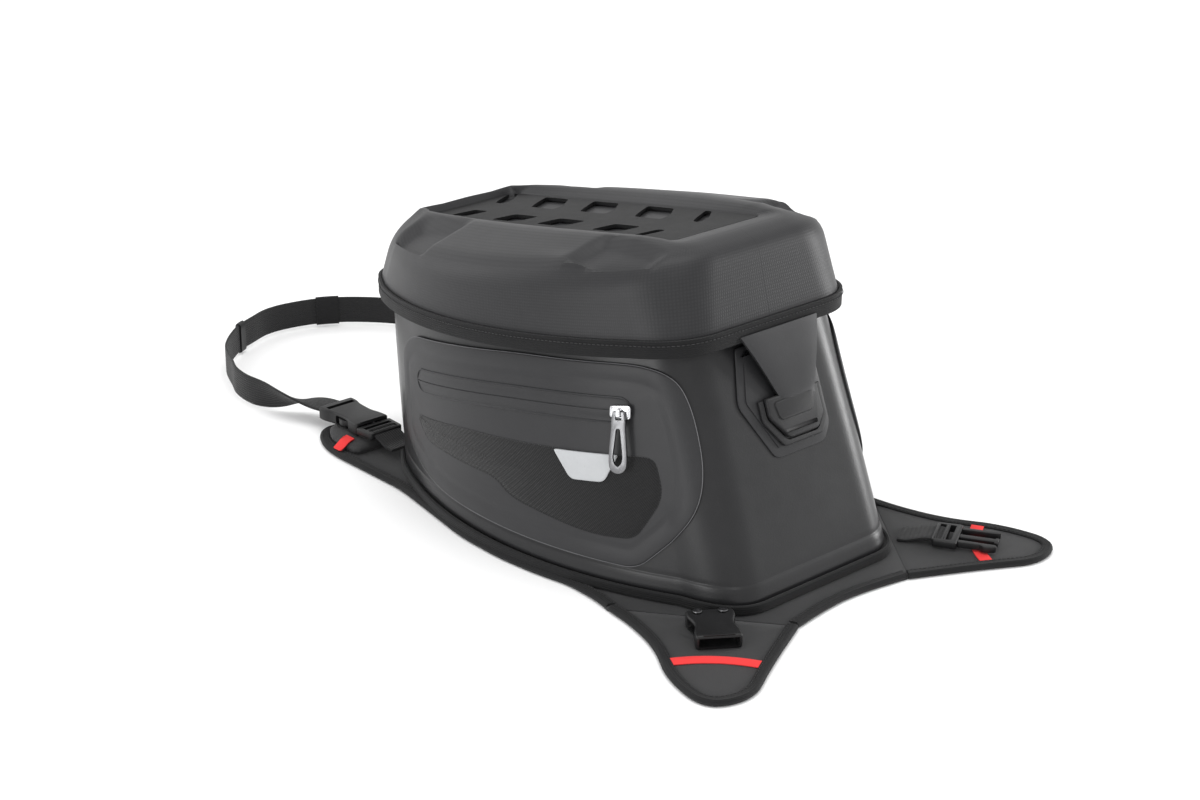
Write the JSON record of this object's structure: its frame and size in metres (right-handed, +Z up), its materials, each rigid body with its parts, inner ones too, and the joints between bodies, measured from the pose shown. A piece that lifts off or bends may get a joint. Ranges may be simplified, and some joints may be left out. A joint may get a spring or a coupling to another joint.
{
  "type": "motorcycle tank bag",
  "caption": "Tapered tank bag with a moulded hinged lid, side zip pockets, a padded base harness, a front strap loop with side-release buckles and two rear flaps.",
  "frame": {"origin": "on the resting plane under the middle of the base harness, the steering-head strap left out", "axes": "+X back to the rider, +Y to the right-hand side, +Z up"},
  "size_m": [0.7619, 0.3644, 0.2515],
  "materials": {
    "coated_fabric": "satin coated",
    "moulded_fabric": "fine woven face over moulded foam",
    "webbing": "woven",
    "padding": "fabric over foam",
    "red_tape": "woven",
    "reflective": "retroreflective",
    "zinc": "dark nickel",
    "black_plastic": "moulded"
  },
  "bodies": {
    "bag": {"tub_shell": "coated_fabric", "floor_board": "black_plastic", "mouth_frame": "black_plastic", "lid_hinge_strip": "coated_fabric", "catch_plate": "coated_fabric", "catch_frame": "coated_fabric", "pocket_panel_left": "coated_fabric", "pocket_fabric_left": "webbing", "pocket_reflector_left": "reflective", "zip_chain_left": "black_plastic", "pocket_panel_right": "coated_fabric", "pocket_fabric_right": "webbing", "pocket_reflector_right": "reflective", "zip_chain_right": "black_plastic", "base_pad": "padding", "harness_sheet": "padding", "harness_binding_rear": "webbing", "harness_binding_left": "webbing", "harness_binding_right": "webbing", "arm_pad_left": "padding", "arm_accent_left": "red_tape", "anchor_webbing_left": "webbing", "front_male_left": "black_plastic", "arm_pad_right": "padding", "arm_accent_right": "red_tape", "anchor_webbing_right": "webbing", "front_male_right": "black_plastic"},
    "lid": {"lid_shell": "moulded_fabric", "lid_edge_tape": "webbing", "lid_panel": "webbing"},
    "tongue": {"closure_tongue": "coated_fabric", "closure_tab": "black_plastic"},
    "strap_loop": {"front_female_left": "black_plastic", "front_female_right": "black_plastic", "steering_strap": "webbing", "strap_sleeve": "webbing", "strap_keeper": "black_plastic"},
    "flap_left_body": {"flap_left": "padding", "flap_binding_left": "webbing", "flap_accent_left": "red_tape", "rear_female": "black_plastic", "rear_rivet_front": "zinc", "rear_rivet_rear": "zinc"},
    "flap_right_body": {"flap_right": "padding", "flap_binding_right": "webbing", "flap_accent_right": "red_tape"},
    "rear_buckle": {"rear_male": "black_plastic", "rear_tail_webbing": "webbing"},
    "zip_slider_left_body": {"zip_slider_left": "zinc"},
    "zip_slider_right_body": {"zip_slider_right": "zinc"},
    "zip_pull_left_body": {"zip_pull_left": "zinc"},
    "zip_pull_right_body": {"zip_pull_right": "zinc"},
    "front_prong_inner_left_body": {"front_prong_inner_left": "black_plastic"},
    "front_prong_outer_left_body": {"front_prong_outer_left": "black_plastic"},
    "front_prong_inner_right_body": {"front_prong_inner_right": "black_plastic"},
    "front_prong_outer_right_body": {"front_prong_outer_right": "black_plastic"},
    "rear_prong_inner_body": {"rear_prong_inner": "black_plastic"},
    "rear_prong_outer_body": {"rear_prong_outer": "black_plastic"}
  },
  "joints": [
    {"name": "lid_hinge", "type": "hinge", "parent": "bag", "child": "lid", "pos_m": [-0.22, 0, 0.1384], "axis": [0, -1, 0], "range_deg": [0, 100]},
    {"name": "tongue_hinge", "type": "hinge", "parent": "lid", "child": "tongue", "pos_m": [0.13937, 0, 0.17938], "axis": [0, -1, 0], "range_deg": [0, 110]},
    {"name": "zip_travel_left", "type": "hinge", "parent": "bag", "child": "zip_slider_left_body", "pos_m": [-0.02667, 0.15364, 0.05568], "axis": [0.1802, -0.211, -0.9607], "range_deg": [0, 39.9]},
    {"name": "zip_pull_lift_left", "type": "hinge", "parent": "zip_slider_left_body", "child": "zip_pull_left_body", "pos_m": [0.09633, -0.10941, 0.13623], "axis": [-0.895, -0.4403, -0.0712], "range_deg": [0, 150]},
    {"name": "zip_travel_right", "type": "hinge", "parent": "bag", "child": "zip_slider_right_body", "pos_m": [-0.02667, -0.15364, 0.05568], "axis": [-0.1802, -0.211, 0.9607], "range_deg": [0, 39.9]},
    {"name": "zip_pull_lift_right", "type": "hinge", "parent": "zip_slider_right_body", "child": "zip_pull_right_body", "pos_m": [0.09633, 0.10941, 0.13623], "axis": [0.895, -0.4403, 0.0712], "range_deg": [0, 150]},
    {"name": "strap_release", "type": "slide", "parent": "bag", "child": "strap_loop", "axis": [-1, 0, 0], "range_m": [0, 0.035]},
    {"name": "flap_left_fold", "type": "hinge", "parent": "bag", "child": "flap_left_body", "pos_m": [0.1815, -0.091, 0.0035], "axis": [-0.7945, -0.6072, 0], "range_deg": [0, 60]},
    {"name": "flap_right_fold", "type": "hinge", "parent": "bag", "child": "flap_right_body", "pos_m": [0.1815, 0.091, 0.0035], "axis": [0.7945, -0.6072, 0], "range_deg": [0, 60]},
    {"name": "rear_buckle_lift", "type": "hinge", "parent": "flap_right_body", "child": "rear_buckle", "pos_m": [0.17648, 0.105, 0.0038], "axis": [0.5, -0.866, 0], "range_deg": [0, 40]},
    {"name": "front_outer_squeeze_left", "type": "hinge", "parent": "bag", "child": "front_prong_outer_left_body", "pos_m": [-0.2258, -0.0957, 0.0166], "axis": [0, 0, -1], "range_deg": [0, 7], "stiffness_Nm_per_rad": 0.4},
    {"name": "front_inner_squeeze_left", "type": "hinge", "parent": "bag", "child": "front_prong_inner_left_body", "pos_m": [-0.2258, -0.0733, 0.0166], "axis": [0, 0, 1], "range_deg": [0, 7], "stiffness_Nm_per_rad": 0.4},
    {"name": "front_outer_squeeze_right", "type": "hinge", "parent": "bag", "child": "front_prong_outer_right_body", "pos_m": [-0.2258, 0.0957, 0.0166], "axis": [0, 0, 1], "range_deg": [0, 7], "stiffness_Nm_per_rad": 0.4},
    {"name": "front_inner_squeeze_right", "type": "hinge", "parent": "bag", "child": "front_prong_inner_right_body", "pos_m": [-0.2258, 0.0733, 0.0166], "axis": [0, 0, -1], "range_deg": [0, 7], "stiffness_Nm_per_rad": 0.4},
    {"name": "rear_outer_squeeze", "type": "hinge", "parent": "rear_buckle", "child": "rear_prong_outer_body", "pos_m": [0.21011, 0.13735, 0.0084], "axis": [0, 0, -1], "range_deg": [0, 7], "stiffness_Nm_per_rad": 0.4},
    {"name": "rear_inner_squeeze", "type": "hinge", "parent": "rear_buckle", "child": "rear_prong_inner_body", "pos_m": [0.22131, 0.11795, 0.0084], "axis": [0, 0, 1], "range_deg": [0, 7], "stiffness_Nm_per_rad": 0.4}
  ]
}
